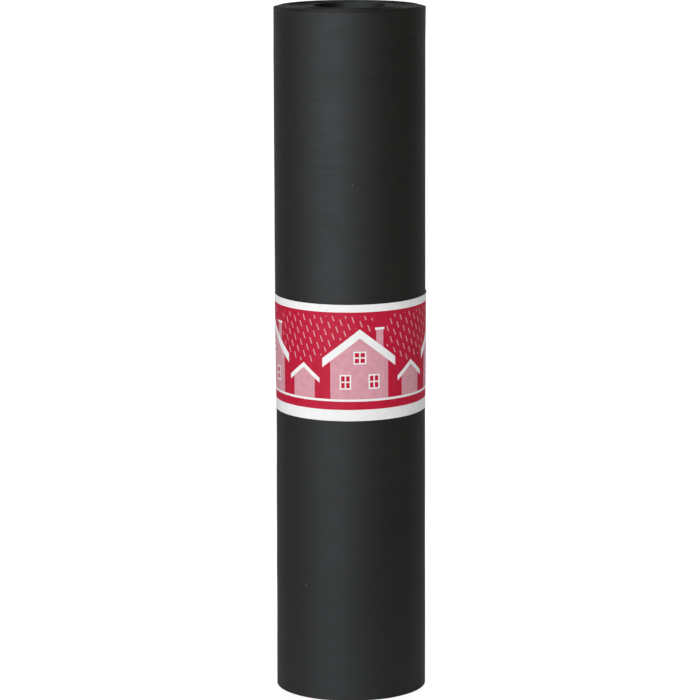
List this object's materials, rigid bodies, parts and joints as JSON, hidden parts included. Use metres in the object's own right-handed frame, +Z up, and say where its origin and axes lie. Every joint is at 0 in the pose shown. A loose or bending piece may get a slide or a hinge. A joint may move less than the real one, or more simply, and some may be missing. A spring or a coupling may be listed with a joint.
{
  "type": "roofing felt roll",
  "caption": "Tight roll of black roofing felt with an open bore, standing on its end, with a glued paper label band round its middle.",
  "frame": {"origin": "centre of the roll's bottom end, where it stands on the floor", "axes": "+Z up along the roll's axis; -Y is the front that the picture shows; +X is to the right"},
  "size_m": [0.1994, 0.1995, 0.9164],
  "materials": {
    "felt": "matt asphalt-saturated felt",
    "label_paper": "printed satin paper, crimson and white"
  },
  "bodies": {
    "root": {"felt_roll": "felt", "label_band": "label_paper"}
  },
  "joints": []
}
